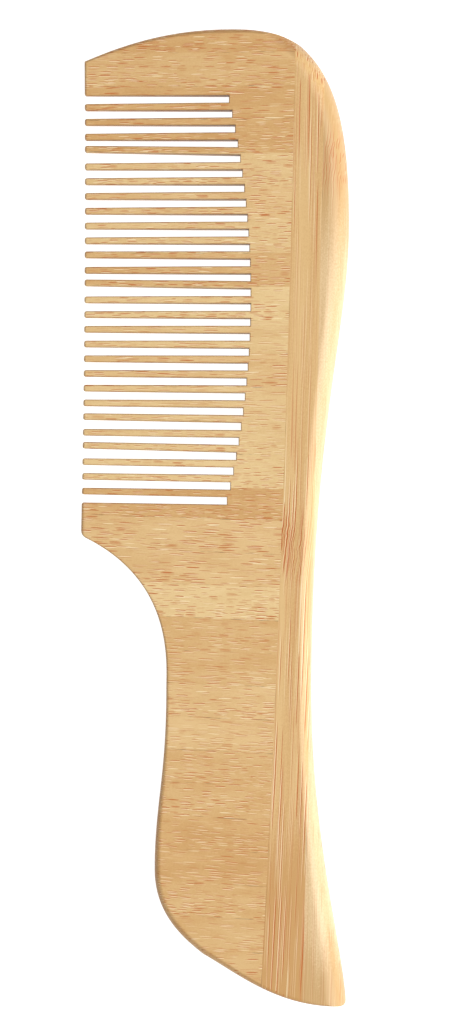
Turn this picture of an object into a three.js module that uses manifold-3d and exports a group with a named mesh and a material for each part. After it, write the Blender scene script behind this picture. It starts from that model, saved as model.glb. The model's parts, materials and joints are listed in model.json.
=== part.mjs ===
// Wide tooth comb with a handle, sawn and sanded from a laminated bamboo board.
//
// Short slats lie side by side from head to tail with their fibres along the teeth, and two
// lengthwise lamellas form the rounded spine. Everything is glued into one rigid comb.
//
// Millimetres. +Y runs from the tail to the head, the teeth point to -X, and +Z is up. The comb
// lies on its flat lower face, and its upper face falls from the thick back to the thin teeth.
// The origin is under the middle of the bounding box.

import * as THREE from "three";
import { mergeVertices } from "three/addons/utils/BufferGeometryUtils.js";
import Module from "manifold-3d";

const manifold = await Module();
manifold.setup();

// Driving dimensions ---------------------------------------------------------------------------

const width = 55;
const length = 200;
const backThickness = 10.5; // of the unsanded board at the back, x = width / 2
const tipThickness = 3; // at the tooth tips, x = -width / 2
const glueGap = 0.2; // between neighbouring pieces
const clearance = 1; // how far cutting shapes reach past the board

const toothCount = 27; // between the guard at the head and the heel of the handle
const toothPitch = 3.049;
const firstSlotY = 85.7; // the middle of the slot beside the guard, at the tooth roots
const slotWidth = 1.51; // at the tooth roots
const lastSlotTilt = 1.0; // degrees; the slots fan out from 0 at the head to this at the heel
const rootApex = { x: 7.3, y: 45.5 }; // the slot ends lie on an arc, which is deepest here
const rootArcRadius = 182;
const toothTaperLength = 25; // the teeth narrow over this length before their tips
const toothTaper = 0.07; // how much wider each side of a slot is at the tips
const toothEdge = 0.25; // rounding along the edges of the teeth
const tipCorner = 0.45; // rounding of the tip corners, seen from above
const cornerMiddle = 0.3; // how far the middle of that rounding lies from its corner, in tipCorners

// How far towards the head the tips of these teeth have sprung, counted from the guard.
const toothLeans = { 4: 0.55, 11: 0.15, 13: 0.45, 22: 0.2, 24: 0.35 };

// The glue lines between the teeth fall inside a slot or well inside a tooth.
const headSlatPitch = 2.25 * toothPitch;
const headFirstGlueLineY = firstSlotY + 3.125 * toothPitch;
const handleSlatPitch = 6.8;
const handleFirstGlueLineY = -0.3;
const handleGlueLineX = 1; // the handle's glue lines turn about this x
const handleTilts = [1.9, 3.1]; // degrees, of the first and the last glue line in the handle

const slatNames = [
  "crown_slat",
  "guard_slat",
  ...numbered("tooth_slat", 12),
  "heel_slat",
  ...numbered("handle_slat", 13),
  "tail_slat",
];
const headSlatCount = 14; // from the crown slat to the last tooth slat
const headSlatTones = [0, 1, 0, 0, 3, 2, 3, 1, 4, 3, 2, 3, 3, 4];
const handleSlatTones = [0, 2, 2, 4, 1, 1, 2, 2, 1, 1, 0, 0, 1, 1, 1];
const toneColours = [0xd6a972, 0xdbb27c, 0xe0ba85, 0xe4c18c, 0xe8c693]; // dark to pale bamboo
const spineColours = { spine_inner: 0xdbb680, spine_outer: 0xf3d9ae };

// Outline, counter-clockwise from above --------------------------------------------------------
// rim gives how far in from the edge the sanded rounding starts, at both ends of a stretch.

const tail = [25.2, -100];
const tip = [26.8, -98.6];
const waist = [19.8, -36];
const shoulder = [27.5, 60];
const corner = [17.8, 96.4];
const apex = [3, 100];
const guard = [-26.8, 93.6];
const heel = [-27.5, -2.6];
const heelUnder = [-26.6, -4.2];
const palm = [-10, -35];
const belly = [-12.4, -72.2];
const runout = [-2.4, -89.5];

// The tooth tips lie on a line that is very slightly hollow, and even in y.
const tipLine = curve(guard, [-26.5, (guard[1] + heel[1]) / 2], heel);
const crownStretches = [
  { curve: curve(corner, [13.4, 99.3], [8.6, 100], apex), rim: [0.5, 1.0], steps: 5 },
  { curve: curve(apex, [-7.8, 100], [-16.7, 97.9], guard), rim: [1.0, 0.5], steps: 10 },
];
const toothSideStretches = [
  { curve: tipLine, rim: [0.5, 0.5], steps: 6 },
  { curve: curve(heel, [-27.5, -3.7], heelUnder), rim: [0.5, 0.3], steps: 2 },
  { curve: curve(heelUnder, [-8.4, -13.2], [-10, -29.7], palm), rim: [0.3, 0.6], steps: 12 },
  { curve: curve(palm, [-10, -53.4], [-12.4, -58.9], belly), rim: [0.6, 1.4], steps: 6 },
  { curve: curve(belly, [-12.4, -80.8], [-7.3, -85.8], runout), rim: [1.4, 1.3], steps: 8 },
  { curve: curve(runout, [4.9, -93.6], [12.7, -100.1], tail), rim: [1.3, 0.6], steps: 8 },
  { curve: curve(tail, [26.9, -100], tip), rim: [0.6, 0.6], steps: 3 },
];
const cornerRim = 3.8; // where the spine's rounding leaves the outline
const spineStretches = [
  { curve: curve(tip, [26, -87], [19.8, -65.2], waist), rim: [4.6, 2.6], steps: 10 },
  { curve: curve(waist, [19.8, 18], [27.5, 38.4], shoulder), rim: [2.6, 4.4], steps: 12 },
  { curve: curve(shoulder, [27.5, 78.8], [25.2, 89.7], corner), rim: [4.4, cornerRim], steps: 10 },
];
const spineEdgeRim = 0.5; // on the plain blank, inside the spine's large rounding

// Glue lines between the slats, the inner lamella and the outer lamella, from the tail up.
const innerJointX = (y) => 13.75 + 0.0362 * y - 0.00009 * y * y;
const outerJointX = (y) => 20.25 + 0.0245 * y;

// Small helpers --------------------------------------------------------------------------------

function numbered(name, count) {
  return Array.from({ length: count }, (_, i) => `${name}_${String(i + 1).padStart(2, "0")}`);
}

function curve(...corners) {
  const points = corners.map(([x, y]) => new THREE.Vector2(x, y));
  return points.length === 3
    ? new THREE.QuadraticBezierCurve(...points)
    : new THREE.CubicBezierCurve(...points);
}

function thicknessAt(x) {
  return THREE.MathUtils.mapLinear(x, -width / 2, width / 2, tipThickness, backThickness);
}

function toSolid(geometry) {
  geometry.deleteAttribute("normal");
  geometry.deleteAttribute("uv");
  const merged = mergeVertices(geometry, 1e-5);
  const mesh = new manifold.Mesh({
    numProp: 3,
    vertProperties: new Float32Array(merged.attributes.position.array),
    triVerts: new Uint32Array(merged.index.array),
  });
  return new manifold.Manifold(mesh);
}

function toMesh(solid, name, colour) {
  const { numProp, vertProperties, triVerts } = solid.getMesh();
  const geometry = new THREE.BufferGeometry();
  geometry.setAttribute("position", new THREE.BufferAttribute(vertProperties, numProp));
  geometry.setIndex(new THREE.BufferAttribute(triVerts, 1));
  const flat = geometry.toNonIndexed();
  flat.computeVertexNormals();
  const material = new THREE.MeshStandardMaterial({ color: colour, roughness: 0.6, metalness: 0 });
  const mesh = new THREE.Mesh(flat, material);
  mesh.name = name;
  return mesh;
}

// Rounded outlines -----------------------------------------------------------------------------

// Points along a chain of stretches, each with its own rim.
function pointsAlong(stretches) {
  return stretches.flatMap(({ curve: path, rim, steps }) =>
    Array.from({ length: steps }, (_, i) => {
      const { x, y } = path.getPoint(i / steps);
      return { x, y, rim: THREE.MathUtils.lerp(rim[0], rim[1], i / steps) };
    }),
  );
}

// The mitred direction into the outline at each point: a step of it moves both edges in by 1.
function inwardDirections(points) {
  const normals = points.map((p, i) => {
    const next = points[(i + 1) % points.length];
    return new THREE.Vector2(p.y - next.y, next.x - p.x).normalize();
  });
  return normals.map((after, i) => {
    const before = normals.at(i - 1);
    return before.clone().add(after).divideScalar(1 + before.dot(after));
  });
}

// A closed solid through rings of points that lie one above the other.
function stackRings(rings) {
  const count = rings[0].length;
  const positions = rings.flat().flatMap(({ x, y, z }) => [x, y, z]);
  const outline = rings[0].map(({ x, y }) => new THREE.Vector2(x, y));
  const top = (rings.length - 1) * count;
  const lid = rings.at(-1).map(({ x, y }) => new THREE.Vector2(x, y));
  const floorFaces = THREE.ShapeUtils.triangulateShape(outline, []).flatMap(([a, b, c]) => [a, c, b]);
  const lidFaces = THREE.ShapeUtils.triangulateShape(lid, []).flat().map((i) => i + top);
  const wallFaces = [];
  for (let ring = 0; ring < rings.length - 1; ring++) {
    for (let i = 0; i < count; i++) {
      const low = ring * count + i;
      const lowNext = ring * count + ((i + 1) % count);
      wallFaces.push(low, lowNext, lowNext + count, low, lowNext + count, low + count);
    }
  }
  const geometry = new THREE.BufferGeometry();
  geometry.setAttribute("position", new THREE.Float32BufferAttribute(positions, 3));
  geometry.setIndex([...floorFaces, ...wallFaces, ...lidFaces]);
  return toSolid(geometry);
}

// The solid inside an outline, from the lower face to the upper face, with its walls curving in
// over each point's rim. heightOf(rim, x) is the height of that rounding.
const rimAngles = [90, 55, 25, 0].map(THREE.MathUtils.degToRad);

function roundedBlank(points, heightOf) {
  const inward = inwardDirections(points);
  const ring = (angle, isUpper) =>
    points.map((p, i) => {
      const inset = p.rim * (1 - Math.cos(angle));
      const x = p.x + inset * inward[i].x;
      const y = p.y + inset * inward[i].y;
      const fall = heightOf(p.rim, x) * (1 - Math.sin(angle));
      return { x, y, z: isUpper ? thicknessAt(x) - fall : fall };
    });
  const lower = rimAngles.map((angle) => ring(angle, false));
  const upper = rimAngles.map((angle) => ring(angle, true)).reverse();
  return stackRings([...lower, ...upper]);
}

// The blank ------------------------------------------------------------------------------------

// The whole comb before its slots are sawn, with small sanded edges all round.
function plainBlank() {
  const plainSpine = spineStretches.map((s) => ({ ...s, rim: [spineEdgeRim, spineEdgeRim] }));
  const points = pointsAlong([...crownStretches, ...toothSideStretches, ...plainSpine]);
  return roundedBlank(points, (rim) => rim);
}

// Everything that the full rounding of the spine leaves: it follows the back from the tail to
// the corner of the crown, and runs straight on past both ends of the comb.
function spineRounding() {
  const reach = 40;
  const end = { x: corner[0], y: corner[1], rim: cornerRim };
  const onBack = [...pointsAlong(spineStretches), end];
  const runOn = (at, from) => {
    const along = new THREE.Vector2(at.x - from.x, at.y - from.y).setLength(reach);
    return { x: at.x + along.x, y: at.y + along.y, rim: at.rim };
  };
  const below = runOn(onBack[0], onBack[1]);
  const beyond = runOn(onBack.at(-1), onBack.at(-2));
  const farX = -2 * width;
  const farLeft = [
    { x: farX, y: beyond.y, rim: spineEdgeRim },
    { x: farX, y: below.y, rim: spineEdgeRim },
  ];
  const almostHalf = 0.49;
  return roundedBlank([below, ...onBack, beyond, ...farLeft], (rim, x) =>
    rim > spineEdgeRim ? almostHalf * Math.abs(thicknessAt(x)) : spineEdgeRim,
  );
}

// Saw slots ------------------------------------------------------------------------------------

function rootX(y) {
  return rootApex.x - (y - rootApex.y) ** 2 / (2 * rootArcRadius);
}

function tipX(y) {
  return tipLine.getPoint((guard[1] - y) / (guard[1] - heel[1])).x;
}

// How much y falls per unit of x along a slot.
function slotSlope(number) {
  return Math.tan(THREE.MathUtils.degToRad(lastSlotTilt * (number / toothCount) ** 2));
}

// How far a tooth has sprung towards the head at x, near the height y.
function leanAt(tooth, x, y) {
  const share = (rootX(y) - x) / (rootX(y) - tipX(y));
  return (toothLeans[tooth] ?? 0) * Math.max(0, share);
}

// One saw slot: square at the root, wider between the tapered tips, and flared at both faces so
// that it leaves rounded edges on the teeth.
function slotCutter(number) {
  const rootY = firstSlotY - number * toothPitch;
  const slope = slotSlope(number);
  const halfWidth = slotWidth / 2;
  const mouthX = tipX(rootY);
  const side = (sign) => {
    const tooth = sign > 0 ? number : number + 1;
    const taperedHalf = halfWidth + toothTaper;
    const at = (x, half) => {
      const middleY = rootY - (x - rootX(rootY)) * slope;
      return { x, y: middleY + sign * half + leanAt(tooth, x, rootY) };
    };
    return [
      { x: rootX(rootY), y: rootY + sign * halfWidth },
      at(mouthX + toothTaperLength, halfWidth),
      at(mouthX + tipCorner, taperedHalf),
      at(mouthX + cornerMiddle * tipCorner, taperedHalf + cornerMiddle * tipCorner),
      at(mouthX, taperedHalf + tipCorner),
      at(mouthX - clearance, taperedHalf + tipCorner),
    ];
  };
  const points = [...side(1), ...side(-1).reverse()];
  const inward = inwardDirections(points);
  const ring = (widen, heightAt) =>
    points.map((p, i) => {
      const x = p.x - widen * inward[i].x;
      return { x, y: p.y - widen * inward[i].y, z: heightAt(x) };
    });
  return stackRings([
    ring(toothEdge, () => -clearance),
    ring(toothEdge, () => 0),
    ring(0, () => toothEdge),
    ring(0, (x) => thicknessAt(x) - toothEdge),
    ring(toothEdge, (x) => thicknessAt(x)),
    ring(toothEdge, (x) => thicknessAt(x) + clearance),
  ]);
}

// Pieces ---------------------------------------------------------------------------------------

// A vertical slab of the board, from a list of [x, y] corners.
function slab(corners) {
  const shape = new THREE.Shape(corners.map(([x, y]) => new THREE.Vector2(x, y)));
  const geometry = new THREE.ExtrudeGeometry(shape, {
    depth: backThickness + 2 * clearance,
    bevelEnabled: false,
  });
  return toSolid(geometry.translate(0, 0, -clearance));
}

// One glue line between two slats: its corners from the free edge to the inner lamella. It turns
// about turnX, and leans from there with the tooth that it lies in or below.
function glueLine(y, turnX, slope, tooth) {
  const corners = [-width, turnX, innerJointX(y) - glueGap / 2];
  return corners.map((x) => [x, y - (x - turnX) * slope + leanAt(tooth, x, y)]);
}

// The glue lines between the slats, from the head to the tail.
function glueLines() {
  const inHead = Array.from({ length: headSlatCount }, (_, i) => {
    const y = headFirstGlueLineY - i * headSlatPitch;
    const number = (firstSlotY - y) / toothPitch;
    return glueLine(y, rootX(y), slotSlope(Math.max(0, number)), Math.ceil(number));
  });
  const handleCount = slatNames.length - 1 - headSlatCount;
  const inHandle = Array.from({ length: handleCount }, (_, i) => {
    const y = handleFirstGlueLineY - i * handleSlatPitch;
    const tilt = THREE.MathUtils.lerp(...handleTilts, i / (handleCount - 1));
    return glueLine(y, handleGlueLineX, Math.tan(THREE.MathUtils.degToRad(tilt)));
  });
  return [...inHead, ...inHandle];
}

// The corners of the slab between two glue lines, left of the inner lamella.
function slatCorners(above, below) {
  const half = glueGap / 2;
  const upper = above.map(([x, y]) => [x, y - half]);
  const lower = below.map(([x, y]) => [x, y + half]);
  return [...lower, ...upper.reverse()];
}

// The corners of the slab between two lengthwise joints.
function lamellaCorners(leftX, rightX) {
  const steps = 10;
  const reach = 1.1 * length;
  const heights = Array.from({ length: steps + 1 }, (_, i) => (i / steps - 0.5) * reach);
  const half = glueGap / 2;
  return [
    ...heights.map((y) => [rightX(y) - half, y]),
    ...heights.map((y) => [leftX(y) + half, y]).reverse(),
  ];
}

function buildComb() {
  let comb = plainBlank().intersect(spineRounding());
  for (let number = 0; number <= toothCount; number++) {
    comb = comb.subtract(slotCutter(number));
  }
  const beyondHead = glueLine(length, 0, 0);
  const beyondTail = glueLine(-length, 0, 0);
  const lines = [beyondHead, ...glueLines(), beyondTail];
  const slatTones = [...headSlatTones, ...handleSlatTones];
  const group = new THREE.Group();
  slatNames.forEach((name, i) => {
    const piece = comb.intersect(slab(slatCorners(lines[i], lines[i + 1])));
    group.add(toMesh(piece, name, toneColours[slatTones[i]]));
  });
  const beyondBack = () => width;
  const inner = comb.intersect(slab(lamellaCorners(innerJointX, outerJointX)));
  const outer = comb.intersect(slab(lamellaCorners(outerJointX, beyondBack)));
  group.add(toMesh(inner, "spine_inner", spineColours.spine_inner));
  group.add(toMesh(outer, "spine_outer", spineColours.spine_outer));
  return group;
}

export default buildComb();
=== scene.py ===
"""Looks of the handled wide tooth comb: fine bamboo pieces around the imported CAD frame.

The comb lies on its lower face. +Y runs from the tail to the head, the teeth point to -X and +Z
is up. Shapes are worked out in millimetres, as a finer version of the CAD model, fitted to the
frame's box, and scaled to metres when each piece is made.
"""

import json
import math
import random

import bpy
from mathutils import Matrix, Vector


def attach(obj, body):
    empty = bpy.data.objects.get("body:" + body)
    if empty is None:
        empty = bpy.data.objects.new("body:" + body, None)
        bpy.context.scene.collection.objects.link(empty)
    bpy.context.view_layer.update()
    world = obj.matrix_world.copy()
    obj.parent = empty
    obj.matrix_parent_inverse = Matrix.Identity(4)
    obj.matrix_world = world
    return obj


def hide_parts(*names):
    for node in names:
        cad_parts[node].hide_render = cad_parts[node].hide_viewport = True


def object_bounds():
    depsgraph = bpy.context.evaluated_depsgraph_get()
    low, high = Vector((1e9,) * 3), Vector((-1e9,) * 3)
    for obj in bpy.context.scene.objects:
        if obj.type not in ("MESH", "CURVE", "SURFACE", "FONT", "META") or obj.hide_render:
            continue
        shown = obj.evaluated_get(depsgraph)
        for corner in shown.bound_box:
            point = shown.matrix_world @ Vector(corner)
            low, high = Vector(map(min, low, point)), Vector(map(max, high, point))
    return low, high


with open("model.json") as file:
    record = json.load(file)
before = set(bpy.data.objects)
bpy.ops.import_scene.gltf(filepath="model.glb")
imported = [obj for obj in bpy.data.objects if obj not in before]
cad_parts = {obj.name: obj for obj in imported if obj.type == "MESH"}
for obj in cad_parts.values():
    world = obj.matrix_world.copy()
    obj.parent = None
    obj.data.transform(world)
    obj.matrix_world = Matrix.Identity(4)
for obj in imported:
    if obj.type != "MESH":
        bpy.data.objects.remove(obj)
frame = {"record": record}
cad_low, cad_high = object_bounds()

MM = 0.001

# Driving dimensions, in millimetres -------------------------------------------------------------

WIDTH = 55
LENGTH = 200
BACK_THICKNESS = 10.5  # of the unsanded board at the back, x = WIDTH / 2
TIP_THICKNESS = 3  # at the tooth tips, x = -WIDTH / 2
CLEARANCE = 1  # how far cutting shapes reach past the board

TOOTH_COUNT = 27  # between the guard at the head and the heel of the handle
TOOTH_PITCH = 3.049
FIRST_SLOT_Y = 85.7
SLOT_WIDTH = 1.51  # at the tooth roots
LAST_SLOT_TILT = 1.0  # degrees; the slots fan out from 0 at the head to this at the heel
ROOT_APEX = (7.3, 45.5)
ROOT_ARC_RADIUS = 182
TOOTH_TAPER_LENGTH = 25
TOOTH_TAPER = 0.07
TOOTH_EDGE = 0.25
TIP_CORNER = 0.45
# How far towards the head the tips of these teeth have sprung, counted from the guard.
TOOTH_LEANS = {4: 0.55, 11: 0.15, 13: 0.45, 22: 0.2, 24: 0.35}

HEAD_SLAT_PITCH = 2.25 * TOOTH_PITCH
HEAD_FIRST_GLUE_LINE_Y = FIRST_SLOT_Y + 3.125 * TOOTH_PITCH
HEAD_SLAT_COUNT = 14
HANDLE_SLAT_PITCH = 6.8
HANDLE_FIRST_GLUE_LINE_Y = -0.3
HANDLE_GLUE_LINE_X = 1
HANDLE_TILTS = (1.9, 3.1)


def numbered(name, count):
    return [f"{name}_{i + 1:02d}" for i in range(count)]


SLAT_NAMES = [
    "crown_slat",
    "guard_slat",
    *numbered("tooth_slat", 12),
    "heel_slat",
    *numbered("handle_slat", 13),
    "tail_slat",
]

# Outline, counter-clockwise from above, in millimetres ------------------------------------------

TAIL = (25.2, -100)
TIP = (26.8, -98.6)
WAIST = (19.8, -36)
SHOULDER = (27.5, 60)
CORNER = (17.8, 96.4)
APEX = (3, 100)
GUARD = (-26.8, 93.6)
HEEL = (-27.5, -2.6)
HEEL_UNDER = (-26.6, -4.2)
PALM = (-10, -35)
BELLY = (-12.4, -72.2)
RUNOUT = (-2.4, -89.5)
TIP_LINE = [GUARD, (-26.5, (GUARD[1] + HEEL[1]) / 2), HEEL]

# Each stretch: the corners of its curve, its rim at both ends, and how many steps it takes.
CROWN_STRETCHES = [
    ([CORNER, (13.4, 99.3), (8.6, 100), APEX], (0.5, 1.0), 25),
    ([APEX, (-7.8, 100), (-16.7, 97.9), GUARD], (1.0, 0.5), 50),
]
TOOTH_SIDE_STRETCHES = [
    (TIP_LINE, (0.5, 0.5), 24),
    ([HEEL, (-27.5, -3.7), HEEL_UNDER], (0.5, 0.3), 12),
    ([HEEL_UNDER, (-8.4, -13.2), (-10, -29.7), PALM], (0.3, 0.6), 60),
    ([PALM, (-10, -53.4), (-12.4, -58.9), BELLY], (0.6, 1.4), 36),
    ([BELLY, (-12.4, -80.8), (-7.3, -85.8), RUNOUT], (1.4, 1.3), 40),
    ([RUNOUT, (4.9, -93.6), (12.7, -100.1), TAIL], (1.3, 0.6), 40),
    ([TAIL, (26.9, -100), TIP], (0.6, 0.6), 10),
]
CORNER_RIM = 3.8  # where the spine's rounding leaves the outline
SPINE_STRETCHES = [
    ([TIP, (26, -87), (19.8, -65.2), WAIST], (4.6, 2.6), 48),
    ([WAIST, (19.8, 18), (27.5, 38.4), SHOULDER], (2.6, 4.4), 60),
    ([SHOULDER, (27.5, 78.8), (25.2, 89.7), CORNER], (4.4, CORNER_RIM), 54),
]
SPINE_EDGE_RIM = 0.5  # on the plain blank, inside the spine's large rounding
RIM_STEPS = 12
EDGE_STEPS = 6


# The glue lines beside the lamellas: x at y = 0, then how x grows with y and with its square.
JOINTS = {"spine_inner": (13.75, 0.0362, -0.00009), "spine_outer": (20.25, 0.0245, 0.0)}


def inner_joint_x(y):
    start, slope, bend = JOINTS["spine_inner"]
    return start + slope * y + bend * y * y


def outer_joint_x(y):
    start, slope, bend = JOINTS["spine_outer"]
    return start + slope * y + bend * y * y


# Small helpers ----------------------------------------------------------------------------------


def mix(a, b, share):
    return a + (b - a) * share


def thickness_at(x):
    return mix(TIP_THICKNESS, BACK_THICKNESS, x / WIDTH + 0.5)


def bezier(corners, t):
    """The point at t on the Bezier curve with these corners."""
    points = [Vector(corner) for corner in corners]
    while len(points) > 1:
        points = [a.lerp(b, t) for a, b in zip(points, points[1:])]
    return points[0]


def quarter_turn(steps):
    """Angles from a right angle down to 0, in equal steps."""
    return [math.pi / 2 * (1 - i / steps) for i in range(steps + 1)]


# Solids -----------------------------------------------------------------------------------------


def points_along(stretches):
    """(x, y, rim) along a chain of stretches."""
    points = []
    for corners, rim, steps in stretches:
        for i in range(steps):
            x, y = bezier(corners, i / steps)
            points.append((x, y, mix(*rim, i / steps)))
    return points


def inward_directions(points):
    """The mitred direction into the outline at each point: a step of it moves both edges in by 1."""
    normals = []
    for here, after in zip(points, points[1:] + points[:1]):
        normals.append(Vector((here[1] - after[1], after[0] - here[0])).normalized())
    pairs = zip(normals[-1:] + normals[:-1], normals)
    return [(before + after) / (1 + before.dot(after)) for before, after in pairs]


def stacked_solid(name, stacks):
    """An object with a closed solid through each stack of rings, which lie one above the other."""
    vertices, faces = [], []
    for rings in stacks:
        start, count = len(vertices), len(rings[0])
        vertices += [point for ring in rings for point in ring]
        top = start + (len(rings) - 1) * count
        faces.append([start + i for i in reversed(range(count))])
        faces.append([top + i for i in range(count)])
        for low in range(start, top, count):
            for i in range(count):
                j = (i + 1) % count
                faces.append((low + i, low + j, low + count + j, low + count + i))
    mesh = bpy.data.meshes.new(name)
    mesh.from_pydata(vertices, [], faces)
    solid = bpy.data.objects.new(name, mesh)
    bpy.context.scene.collection.objects.link(solid)
    return solid


def cut(solid, operation, cutter):
    """Puts the result of a boolean into the solid's own mesh."""
    modifier = solid.modifiers.new("cut", "BOOLEAN")
    modifier.operation = operation
    modifier.solver = "MANIFOLD"
    modifier.object = cutter
    graph = bpy.context.evaluated_depsgraph_get()
    result = bpy.data.meshes.new_from_object(solid.evaluated_get(graph), depsgraph=graph)
    solid.modifiers.clear()
    solid.data = result


def remove(solid):
    bpy.data.objects.remove(solid)


def rounded_rings(points, height_of):
    """Rings around a board whose walls curve in over each point's rim, towards both faces."""
    inward = inward_directions(points)

    def ring(angle, is_upper):
        made = []
        for (x, y, rim), into in zip(points, inward):
            inset = rim * (1 - math.cos(angle))
            at_x = x + inset * into.x
            fall = height_of(rim, at_x) * (1 - math.sin(angle))
            z = thickness_at(at_x) - fall if is_upper else fall
            made.append((at_x, y + inset * into.y, z))
        return made

    angles = quarter_turn(RIM_STEPS)
    lower = [ring(angle, False) for angle in angles]
    upper = [ring(angle, True) for angle in reversed(angles)]
    return lower + upper


def plain_blank():
    """The comb before its slots are sawn, with small sanded edges all round."""
    plain_spine = [(corners, (SPINE_EDGE_RIM,) * 2, steps) for corners, _, steps in SPINE_STRETCHES]
    points = points_along([*CROWN_STRETCHES, *TOOTH_SIDE_STRETCHES, *plain_spine])
    return stacked_solid("blank", [rounded_rings(points, lambda rim, x: rim)])


def spine_rounding():
    """All that the full rounding of the spine leaves. It runs straight on past both ends."""
    reach = 40
    almost_half = 0.49
    far_x = -2 * WIDTH
    on_back = [*points_along(SPINE_STRETCHES), (*CORNER, CORNER_RIM)]

    def run_on(end, before):
        along = Vector((end[0] - before[0], end[1] - before[1])).normalized() * reach
        return (end[0] + along.x, end[1] + along.y, end[2])

    below = run_on(on_back[0], on_back[1])
    beyond = run_on(on_back[-1], on_back[-2])
    far_left = [(far_x, beyond[1], SPINE_EDGE_RIM), (far_x, below[1], SPINE_EDGE_RIM)]

    def height_of(rim, x):
        return almost_half * abs(thickness_at(x)) if rim > SPINE_EDGE_RIM else SPINE_EDGE_RIM

    rings = rounded_rings([below, *on_back, beyond, *far_left], height_of)
    return stacked_solid("spine_rounding", [rings])


# Saw slots --------------------------------------------------------------------------------------


def root_x(y):
    return ROOT_APEX[0] - (y - ROOT_APEX[1]) ** 2 / (2 * ROOT_ARC_RADIUS)


def tip_x(y):
    return bezier(TIP_LINE, (GUARD[1] - y) / (GUARD[1] - HEEL[1])).x


def slot_slope(number):
    """How much y falls per unit of x along a slot."""
    return math.tan(math.radians(LAST_SLOT_TILT * (number / TOOTH_COUNT) ** 2))


def lean_rate(tooth, y):
    """How fast a tooth springs towards the head along its length, near the height y."""
    return TOOTH_LEANS.get(tooth, 0) / (root_x(y) - tip_x(y))


def slot_rings(number):
    """One saw slot: square at the root, wider between the tapered tips, and flared at both faces."""
    root_y = FIRST_SLOT_Y - number * TOOTH_PITCH
    slope = slot_slope(number)
    half_width = SLOT_WIDTH / 2
    tapered_half = half_width + TOOTH_TAPER
    mouth_x = tip_x(root_y)

    def side(sign):
        rate = lean_rate(number if sign > 0 else number + 1, root_y)

        def at(x, half):
            from_root = root_x(root_y) - x
            return (x, root_y + from_root * slope + sign * half + max(0, from_root) * rate)

        corner = []
        for angle in quarter_turn(EDGE_STEPS):
            ahead = TIP_CORNER * (1 - math.sin(angle))
            aside = TIP_CORNER * (1 - math.cos(angle))
            corner.append(at(mouth_x + ahead, tapered_half + aside))
        root = (root_x(root_y), root_y + sign * half_width)
        return [
            root,
            at(mouth_x + TOOTH_TAPER_LENGTH, half_width),
            *reversed(corner),
            at(mouth_x - CLEARANCE, tapered_half + TIP_CORNER),
        ]

    points = [*side(1), *reversed(side(-1))]
    outward = [-into for into in inward_directions(points)]

    def ring(widen, height_at):
        made = []
        for (x, y), out in zip(points, outward):
            at_x = x + widen * out.x
            made.append((at_x, y + widen * out.y, height_at(at_x)))
        return made

    lower, upper = [], []
    for angle in quarter_turn(EDGE_STEPS):
        widen = TOOTH_EDGE * (1 - math.cos(angle))
        depth = TOOTH_EDGE * (1 - math.sin(angle))
        lower.append(ring(widen, lambda x, d=depth: d))
        upper.append(ring(widen, lambda x, d=depth: thickness_at(x) - d))
    return [
        ring(TOOTH_EDGE, lambda x: -CLEARANCE),
        *lower,
        *reversed(upper),
        ring(TOOTH_EDGE, lambda x: thickness_at(x) + CLEARANCE),
    ]


# Pieces -----------------------------------------------------------------------------------------


def glue_line(y, turn_x, slope, tooth=None):
    """A line through (turn_x, y). It falls by slope, and left of there it leans with a tooth."""
    return (y, turn_x, slope, lean_rate(tooth, y))


def glue_lines():
    """The glue lines between the slats, from the head to the tail."""
    lines = []
    for i in range(HEAD_SLAT_COUNT):
        y = HEAD_FIRST_GLUE_LINE_Y - i * HEAD_SLAT_PITCH
        number = (FIRST_SLOT_Y - y) / TOOTH_PITCH
        lines.append(glue_line(y, root_x(y), slot_slope(max(0, number)), math.ceil(number)))
    handle_count = len(SLAT_NAMES) - 1 - HEAD_SLAT_COUNT
    for i in range(handle_count):
        y = HANDLE_FIRST_GLUE_LINE_Y - i * HANDLE_SLAT_PITCH
        tilt = mix(*HANDLE_TILTS, i / (handle_count - 1))
        lines.append(glue_line(y, HANDLE_GLUE_LINE_X, math.tan(math.radians(tilt))))
    return lines


def glue_points(line):
    """The corners of a glue line, from the free edge to the inner lamella."""
    y, turn_x, slope, lean = line
    corners = (-WIDTH, turn_x, inner_joint_x(y))
    return [(x, y - (x - turn_x) * slope + max(0, turn_x - x) * lean) for x in corners]


def slab(name, corners):
    """A vertical slab of the board, from its corners counter-clockwise."""
    top = BACK_THICKNESS + CLEARANCE
    rings = [[(x, y, z) for x, y in corners] for z in (-CLEARANCE, top)]
    return stacked_solid(name, [rings])


def slat_corners(above, below):
    return [*glue_points(below), *reversed(glue_points(above))]


def lamella_corners(left_x, right_x):
    steps = 40
    reach = 1.1 * LENGTH
    heights = [(i / steps - 0.5) * reach for i in range(steps + 1)]
    right = [(right_x(y), y) for y in heights]
    left = [(left_x(y), y) for y in reversed(heights)]
    return right + left


def carved_comb():
    """The whole comb as one solid, before it is divided along its glue lines."""
    comb = plain_blank()
    rounding = spine_rounding()
    slots = stacked_solid("slots", [slot_rings(i) for i in range(TOOTH_COUNT + 1)])
    cut(comb, "INTERSECT", rounding)
    cut(comb, "DIFFERENCE", slots)
    remove(rounding)
    remove(slots)
    return comb


def fit_to_frame(comb):
    """The matrix that takes the comb in millimetres to the CAD model's box in metres."""
    spots = [vertex.co for vertex in comb.data.vertices]
    low = Vector([min(spot[i] for spot in spots) for i in range(3)])
    high = Vector([max(spot[i] for spot in spots) for i in range(3)])
    scales = [(cad_high[i] - cad_low[i]) / (high[i] - low[i]) for i in range(3)]
    return Matrix.Translation(cad_low) @ Matrix.Diagonal((*scales, 1)) @ Matrix.Translation(-low)


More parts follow.
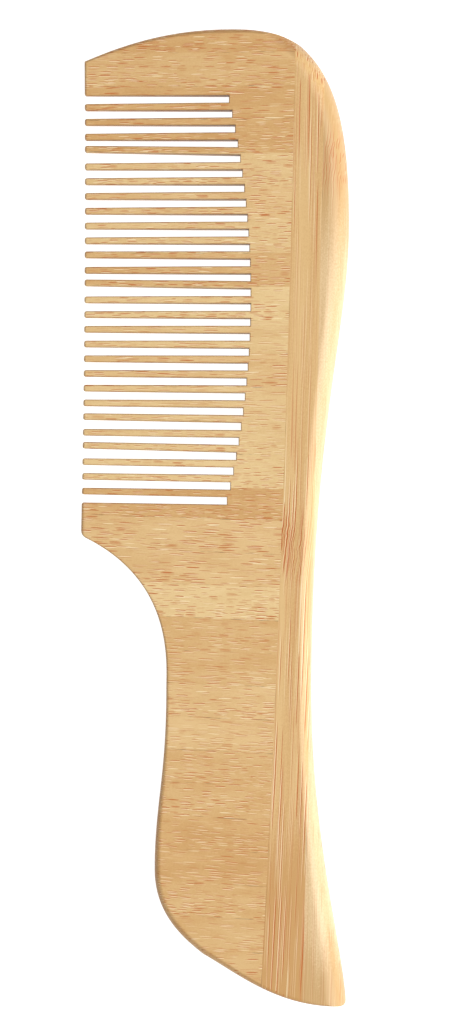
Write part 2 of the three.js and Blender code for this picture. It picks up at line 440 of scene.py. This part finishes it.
def make_piece(name, comb, fit, corners):
    """One visual piece: the part of the comb inside a slab, in metres."""
    piece = slab(name, corners)
    cut(piece, "INTERSECT", comb)
    mesh = piece.data
    mesh.transform(fit)
    mesh.shade_smooth()
    mesh.set_sharp_from_angle(angle=math.radians(30))
    weighting = piece.modifiers.new("weighted_normals", "WEIGHTED_NORMAL")
    weighting.keep_sharp = True
    return piece


comb = carved_comb()
fit = fit_to_frame(comb)
beyond_head = glue_line(LENGTH, 0, 0)
beyond_tail = glue_line(-LENGTH, 0, 0)
lines = [beyond_head, *glue_lines(), beyond_tail]
pieces = {}
for name, above, below in zip(SLAT_NAMES, lines, lines[1:]):
    pieces[name] = make_piece(name + "_wood", comb, fit, slat_corners(above, below))
pieces["spine_inner"] = make_piece(
    "spine_inner_wood", comb, fit, lamella_corners(inner_joint_x, outer_joint_x)
)
pieces["spine_outer"] = make_piece(
    "spine_outer_wood", comb, fit, lamella_corners(outer_joint_x, lambda y: WIDTH)
)
remove(comb)

# Bamboo -----------------------------------------------------------------------------------------


class Value:
    """A number or vector in a material, with arithmetic that adds nodes to the material's tree."""

    def __init__(self, shade, socket):
        self.shade = shade
        self.socket = socket

    def __add__(self, other):
        return self.shade.math("ADD", self, other)

    def __sub__(self, other):
        return self.shade.math("SUBTRACT", self, other)

    def __rsub__(self, other):
        return self.shade.math("SUBTRACT", other, self)

    def __mul__(self, other):
        return self.shade.math("MULTIPLY", self, other)

    __radd__ = __add__
    __rmul__ = __mul__


class Shade:
    """A material being built, with short calls for the nodes that the bamboo needs."""

    def __init__(self, name):
        self.material = bpy.data.materials.new(name)
        self.material.use_nodes = True
        self.tree = self.material.node_tree
        self.surface = self.tree.nodes["Principled BSDF"]

    def plug(self, socket, value):
        if isinstance(value, Value):
            self.tree.links.new(value.socket, socket)
        else:
            socket.default_value = value

    def node(self, kind, inputs, output=0, **settings):
        made = self.tree.nodes.new(kind)
        for key, value in settings.items():
            setattr(made, key, value)
        for key, value in inputs.items():
            self.plug(made.inputs[key], value)
        return Value(self, made.outputs[output])

    def math(self, operation, *values):
        inputs = dict(enumerate(values))
        return self.node("ShaderNodeMath", inputs, operation=operation)

    def spot(self, x, y, z):
        return self.node("ShaderNodeCombineXYZ", {"X": x, "Y": y, "Z": z})

    def noise(self, x, y, z, detail=2.0, seed=0.0):
        """Smooth noise around 0.5, with features about one unit across."""
        inputs = {"Vector": self.spot(x + seed, y + seed, z + seed), "Scale": 1.0, "Detail": detail}
        return self.node("ShaderNodeTexNoise", inputs, output="Fac")

    def ramp(self, value, start, end, low=0.0, high=1.0):
        """Goes smoothly from low to high as the value goes from start to end."""
        inputs = {"Value": value, "From Min": start, "From Max": end, "To Min": low, "To Max": high}
        return self.node("ShaderNodeMapRange", inputs, interpolation_type="SMOOTHSTEP")

    def blend(self, share, first, second):
        made = self.tree.nodes.new("ShaderNodeMix")
        made.data_type = "RGBA"
        self.plug(made.inputs["Factor"], share)
        self.plug(made.inputs[6], first)
        self.plug(made.inputs[7], second)
        return Value(self, made.outputs[2])

    def place(self):
        """The place on the comb, in millimetres, as three numbers."""
        coordinates = self.node("ShaderNodeTexCoord", {}, output="Object")
        parts = self.tree.nodes.new("ShaderNodeSeparateXYZ")
        self.plug(parts.inputs[0], coordinates)
        return [Value(self, parts.outputs[axis]) * (1 / MM) for axis in "XYZ"]

    def finish(self, colour, roughness, gloss, height):
        self.plug(self.surface.inputs["Base Color"], colour)
        self.plug(self.surface.inputs["Roughness"], roughness)
        self.surface.inputs["Specular IOR Level"].default_value = gloss
        inputs = {"Height": height, "Strength": 1.0, "Distance": RELIEF * MM}
        self.plug(self.surface.inputs["Normal"], self.node("ShaderNodeBump", inputs, output="Normal"))
        return self.material


RELIEF = 0.03  # depth of the grain, in millimetres
SATIN = 0.38  # roughness of the sanded and oiled wood
SLAT_GLOSS = 0.5
GLUE_FILM = 0.14  # how far a glue line's stain reaches into the wood, in millimetres
TIP_SHADE = 0.9  # length of the painted shade on the rounded end of each tooth, in millimetres
SLAT_WIDTH = 6.9  # of a typical slat, in millimetres
CALM_Y = 36  # where the lamellas' grain shows least

# Fibre bundles: their mean spacing along, across and into the wood, then half the width and the
# depth that one of them takes up, in millimetres.
SLAT_FIBRES = ((30, 0.75, 0.6), (0.14, 0.18))
FINE_SLAT_FIBRES = ((24, 0.45, 0.42), (0.12, 0.16))
LAMELLA_FIBRES = ((28, 0.75, 1.1), (0.16, 0.4))
FINE_LAMELLA_FIBRES = ((20, 0.4, 0.6), (0.12, 0.3))


def colour(code):
    """A linear colour from its sRGB hex code."""
    parts = [int(code[i : i + 2], 16) / 255 for i in (0, 2, 4)]
    return (*[((part + 0.055) / 1.055) ** 2.4 for part in parts], 1)


BROWN = colour("c2621a")
PALE = colour("ffedc0")
GLUE = colour("74441c")
# Darker tone of end grain, also used on the slats for painted shade on their sides, rims and tooth
# ends.
END_GRAIN_AND_SHADE = colour("9a6a3c")


def bundles(shade, along, across, depth, fibres, seed):
    """How much of the fibre bundles' brown upper side and of their pale core shows at a place."""
    cell, reach = fibres
    spot = shade.spot(
        along * (1 / cell[0]) + seed, across * (1 / cell[1]) + seed, depth * (1 / cell[2]) + seed
    )
    texture = shade.tree.nodes.new("ShaderNodeTexVoronoi")
    texture.inputs["Scale"].default_value = 1.0
    texture.inputs["Randomness"].default_value = 0.9
    shade.plug(texture.inputs["Vector"], spot)
    parts = shade.tree.nodes.new("ShaderNodeSeparateXYZ")
    offset = shade.node(
        "ShaderNodeVectorMath",
        {0: spot, 1: Value(shade, texture.outputs["Position"])},
        operation="SUBTRACT",
    )
    shade.plug(parts.inputs[0], offset)
    ahead = Value(shade, parts.outputs["X"])
    aside = Value(shade, parts.outputs["Y"]) * (cell[1] / reach[0])
    below = Value(shade, parts.outputs["Z"]) * (cell[2] / reach[1])
    chance = shade.tree.nodes.new("ShaderNodeSeparateColor")
    shade.tree.links.new(texture.outputs["Color"], chance.inputs[0])
    luck = [Value(shade, chance.outputs[i]) for i in range(3)]
    lens = below * below + ahead * ahead * 4.0  # from 0 inside a bundle to 1 at its ends

    def dash(shift, thickness):
        """A dash beside the bundle's middle line, in half widths of the bundle."""
        from_middle = (aside - shift) * (1 / thickness)
        return shade.ramp(lens + from_middle * from_middle, 1.1, 0.75)

    brown = dash(0.6, 0.8) * shade.ramp(luck[0], 0.05, 0.5)
    lower = dash(-1.5, 0.6) * shade.ramp(luck[1], 0.4, 0.9) * 0.6
    pale = dash(-0.5, 0.7) * shade.ramp(luck[2], 0.1, 0.6)
    return shade.math("MAXIMUM", brown, lower), pale


def wood(shade, tone, gloss, clouds, brown, pale, glue, end_grain_and_shade):
    """The colour, roughness and relief of bamboo with these amounts of each feature."""
    ground = shade.blend(shade.ramp(clouds, 0.2, 0.8), tone[0], tone[1])
    stained = shade.blend(brown, ground, BROWN)
    tinted = shade.blend(pale, stained, PALE)
    # Blends in the end grain's darker tone, which on the slats also carries painted shade.
    ended = shade.blend(end_grain_and_shade, tinted, END_GRAIN_AND_SHADE)
    glued = shade.blend(glue, ended, GLUE)
    roughness = brown * 0.12 + end_grain_and_shade * 0.1 + SATIN
    return shade.finish(glued, roughness, gloss, pale * 0.3 - brown * 0.5 - glue)


def facing(shade, axis):
    """How far the surface faces along an axis, from 0 to 1."""
    normal = shade.node("ShaderNodeNewGeometry", {}, output="Normal")
    parts = shade.tree.nodes.new("ShaderNodeSeparateXYZ")
    shade.plug(parts.inputs[0], normal)
    return shade.math("ABSOLUTE", Value(shade, parts.outputs[axis]))


def above_line(shade, x, y, line):
    """How far a place lies above a glue line."""
    line_y, turn_x, slope, lean = line
    left = shade.math("MAXIMUM", turn_x - x, 0)
    return y - line_y + (x - turn_x) * slope - left * lean


def slat_material(name, tone, above, below, seed):
    """Bamboo with its fibres along X, between the glue lines above and below."""
    shade = Shade(name)
    x, y, z = shade.place()
    draw = random.Random(name)
    strength = draw.uniform(0.6, 1.0)
    rise = draw.uniform(-0.03, 0.02)
    wobble = shade.noise(x * (1 / 9), y * (1 / 4), z * (1 / 4), seed=seed) - 0.5
    from_lower = above_line(shade, x, y, below)
    from_upper = above_line(shade, x, y, above) * -1
    across = from_lower + wobble * 0.5
    depth = z + x * rise
    share = across * (1 / SLAT_WIDTH)
    clouds = shade.noise(x * (1 / 12), across * (1 / 2.5), depth * (1 / 2.5), seed=seed + 7)
    speckle = shade.noise(x * 2.5, y * 4.0, z * 4.0, detail=1.0, seed=seed + 2)
    brown, pale = bundles(shade, x, across, depth, SLAT_FIBRES, seed)
    fine_brown, fine_pale = bundles(shade, x, across, depth, FINE_SLAT_FIBRES, seed + 3)
    dense = shade.ramp(share, 0.75, 0.1) * 0.6 + 0.35
    all_brown = shade.math("MAXIMUM", brown * strength, fine_brown * dense * strength)
    all_pale = shade.math("MAXIMUM", pale * strength * 0.8, fine_pale * dense * 0.6)
    segments = shade.noise(x * (1 / 4), y * (1 / 3), z * 1.0, seed=seed + 9)
    beside = shade.math("MINIMUM", from_lower, from_upper)
    glue = shade.ramp(beside, GLUE_FILM, 0.02) * shade.ramp(segments, 0.52, 0.75)
    # Painted shade over the rounded end of each tooth, in the end grain's darker tone.
    tips = shade.ramp(x, TIP_SHADE - WIDTH / 2, 0.1 - WIDTH / 2) * 0.45
    # Painted shade: darkens the slats' sides and rims that face along Y, such as the crown's rim and
    # the walls under each tooth.
    painted_side_shade = shade.ramp(facing(shade, "Y"), 0.03, 0.35) * 0.4
    # Darker end grain where the slats' cut ends face along X; on the handle's left rims it also
    # stands in as painted shade.
    cut_ends_and_shade = shade.ramp(facing(shade, "X"), 0.3, 1.0) * 0.6
    end_grain_and_shade = shade.math("MAXIMUM", shade.math("MAXIMUM", cut_ends_and_shade, painted_side_shade), tips)
    mottled = clouds + speckle * 0.5 - 0.25
    return wood(shade, tone, SLAT_GLOSS, mottled, all_brown, all_pale, glue, end_grain_and_shade)


def swelling(shade, y, middle, reach):
    """1 at the middle of a bamboo node, down to 0 at its reach."""
    from_middle = (y - middle) * (1 / reach)
    return shade.ramp(from_middle * from_middle, 1.0, 0.0)


def lamella_material(name, tone, gloss, joint, knot, tan_ends, streaks, seed):
    """Lengthwise bamboo with a node. streaks is how strongly the lines of its grain show."""
    shade = Shade(name)
    x, y, z = shade.place()
    start, slope, bend = joint
    middle, reach = knot
    from_joint = x - (y * slope + y * y * bend + start)
    at_knot = swelling(shade, y, middle, reach) * shade.ramp(from_joint, 6.0, 4.0)
    wobble = shade.noise(y * (1 / 30), x * (1 / 6), z * (1 / 6), seed=seed) - 0.5
    ripple = shade.noise(y * (1 / 3.5), x * (1 / 2), z * (1 / 3), seed=seed + 1) - 0.5
    shift = shade.ramp(y, middle + reach, middle - reach)
    across = from_joint + wobble * 0.6 + ripple * at_knot * 1.0 + shift
    depth = z + y * 0.012
    clouds = shade.noise(y * (1 / 70), across * (1 / 2.2), depth * (1 / 4), seed=seed + 5)
    speckle = shade.noise(x * 4.0, y * 2.5, z * 4.0, detail=1.0, seed=seed + 2)
    brown, pale = bundles(shade, y, across, depth, LAMELLA_FIBRES, seed)
    fine_brown, fine_pale = bundles(shade, y, across, depth, FINE_LAMELLA_FIBRES, seed + 3)
    from_calm = shade.math("ABSOLUTE", y - CALM_Y)
    grain = shade.ramp(from_calm, 12, 36, 0.5, 1.0) * streaks + at_knot * 0.3
    all_brown = shade.math("MAXIMUM", brown * 0.8, fine_brown * (at_knot * 0.6 + 0.35)) * grain
    all_pale = shade.math("MAXIMUM", pale * 0.5, fine_pale * 0.25) * (at_knot * -0.5 + 1) * grain
    segments = shade.noise(x * 1.0, y * (1 / 7), z * 1.0, seed=seed + 9)
    glue = shade.ramp(from_joint, GLUE_FILM, 0.02) * shade.ramp(segments, 0.52, 0.8) * 0.7
    # Darker end grain where the lamella's ends face along Y.
    end_grain_and_shade = shade.ramp(facing(shade, "Y"), 0.3, 1.0) * 0.6
    tan = sum(shade.ramp(y, *end) for end in tan_ends) * 0.5 + at_knot * 0.05
    mottled = (clouds - 0.5) * 0.7 + 0.6 + speckle * 0.4 - 0.2 - tan
    return wood(shade, tone, gloss, mottled, all_brown, all_pale, glue, end_grain_and_shade)


# The darker and the lighter tone of each material's mottled ground.
TONES = {
    "bamboo_dark": ("d0a064", "dcb277"),
    "bamboo_tan": ("d6a96d", "e0ba81"),
    "bamboo_mid": ("dcb47a", "e6c28a"),
    "bamboo_light": ("dfba81", "e9c991"),
    "bamboo_pale": ("e3c187", "eccd96"),
    "spine_inner": ("cf9f62", "e4be83"),
    "spine_outer": ("d0a972", "f0d2a3"),
}
KNOTS = {"spine_inner": (-6, 9), "spine_outer": (73, 9)}  # each node's middle and reach along Y
# Where each lamella starts to darken towards an end, and where it is darkest, along Y.
TAN_ENDS = {"spine_inner": [(-55, -80)], "spine_outer": [(47, 75), (-82, -102)]}
STREAKS = {"spine_inner": 1.15, "spine_outer": 0.35}
GLOSS = {"spine_inner": 0.6, "spine_outer": 0.5}
slots_by_node = {part["node"]: part["material_slot"] for part in frame["record"]["subparts"]}
borders = dict(zip(SLAT_NAMES, zip(lines, lines[1:])))
for number, (node, piece) in enumerate(pieces.items()):
    slot = slots_by_node[node]
    tone = [colour(code) for code in TONES[slot]]
    seed = 11.3 * number
    if node in JOINTS:
        looks = (GLOSS[node], JOINTS[node], KNOTS[node], TAN_ENDS[node], STREAKS[node])
        material = lamella_material(node, tone, *looks, seed)
    else:
        material = slat_material(node, tone, *borders[node], seed)
    piece.data.materials.clear()
    piece.data.materials.append(material)
    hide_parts(node)
    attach(piece, "root")

# Floor, lights and camera -----------------------------------------------------------------------

FLOOR_REACH = 3  # metres
FLOOR_GAP = 0.00005  # metres between the floor and the comb
FLOOR_GREY = 0.35
FLOOR_GLOW = 0.98
TOP_POWER = 43.4  # watts
SIDE_POWER = 17.5
STUDIO_GLOW = 0.225
CAMERA_DISTANCE = 1.4  # metres above the comb
VIEW_MIDDLE = (0.00194, 0.0011)  # metres
VIEW_HEIGHT = 0.2107  # metres of the comb's plane that the picture shows

floor_mesh = bpy.data.meshes.new("floor")
corner_signs = ((-1, -1), (1, -1), (1, 1), (-1, 1))
floor_corners = [(x * FLOOR_REACH, y * FLOOR_REACH, 0) for x, y in corner_signs]
floor_mesh.from_pydata(floor_corners, [], [(0, 1, 2, 3)])
floor = bpy.data.objects.new("floor", floor_mesh)
floor.location.z = cad_low.z - FLOOR_GAP
bpy.context.scene.collection.objects.link(floor)
floor_material = bpy.data.materials.new("floor")
floor_material.use_nodes = True
shader = floor_material.node_tree.nodes["Principled BSDF"]
shader.inputs["Base Color"].default_value = (FLOOR_GREY, FLOOR_GREY, FLOOR_GREY, 1)
shader.inputs["Roughness"].default_value = 0.9
shader.inputs["Emission Color"].default_value = (1, 1, 1, 1)
shader.inputs["Emission Strength"].default_value = FLOOR_GLOW
floor_mesh.materials.append(floor_material)


def area_light(name, place, size, power):
    """A square light that faces the comb."""
    data = bpy.data.lights.new(name, "AREA")
    data.shape = "SQUARE"
    data.size = size
    data.energy = power
    light = bpy.data.objects.new(name, data)
    light.visible_camera = False
    light.location = place
    light.rotation_mode = "QUATERNION"
    light.rotation_quaternion = (-Vector(place)).to_track_quat("-Z", "Y")
    bpy.context.scene.collection.objects.link(light)


area_light("top", (0.9, -0.2, 1.8), 2.0, TOP_POWER)
area_light("right", (1.6, -0.74, 0.7), 1.4, SIDE_POWER)

world = bpy.data.worlds.new("studio")
world.use_nodes = True
world.node_tree.nodes["Background"].inputs["Color"].default_value = (1, 1, 1, 1)
world.node_tree.nodes["Background"].inputs["Strength"].default_value = STUDIO_GLOW
bpy.context.scene.world = world

camera_data = bpy.data.cameras.new("camera")
camera_data.sensor_width = 36
camera_data.lens = camera_data.sensor_width * CAMERA_DISTANCE / VIEW_HEIGHT
camera = bpy.data.objects.new("camera", camera_data)
camera.location = (*VIEW_MIDDLE, CAMERA_DISTANCE)
bpy.context.scene.collection.objects.link(camera)
bpy.context.scene.camera = camera
bpy.context.scene.view_settings.view_transform = "Standard"
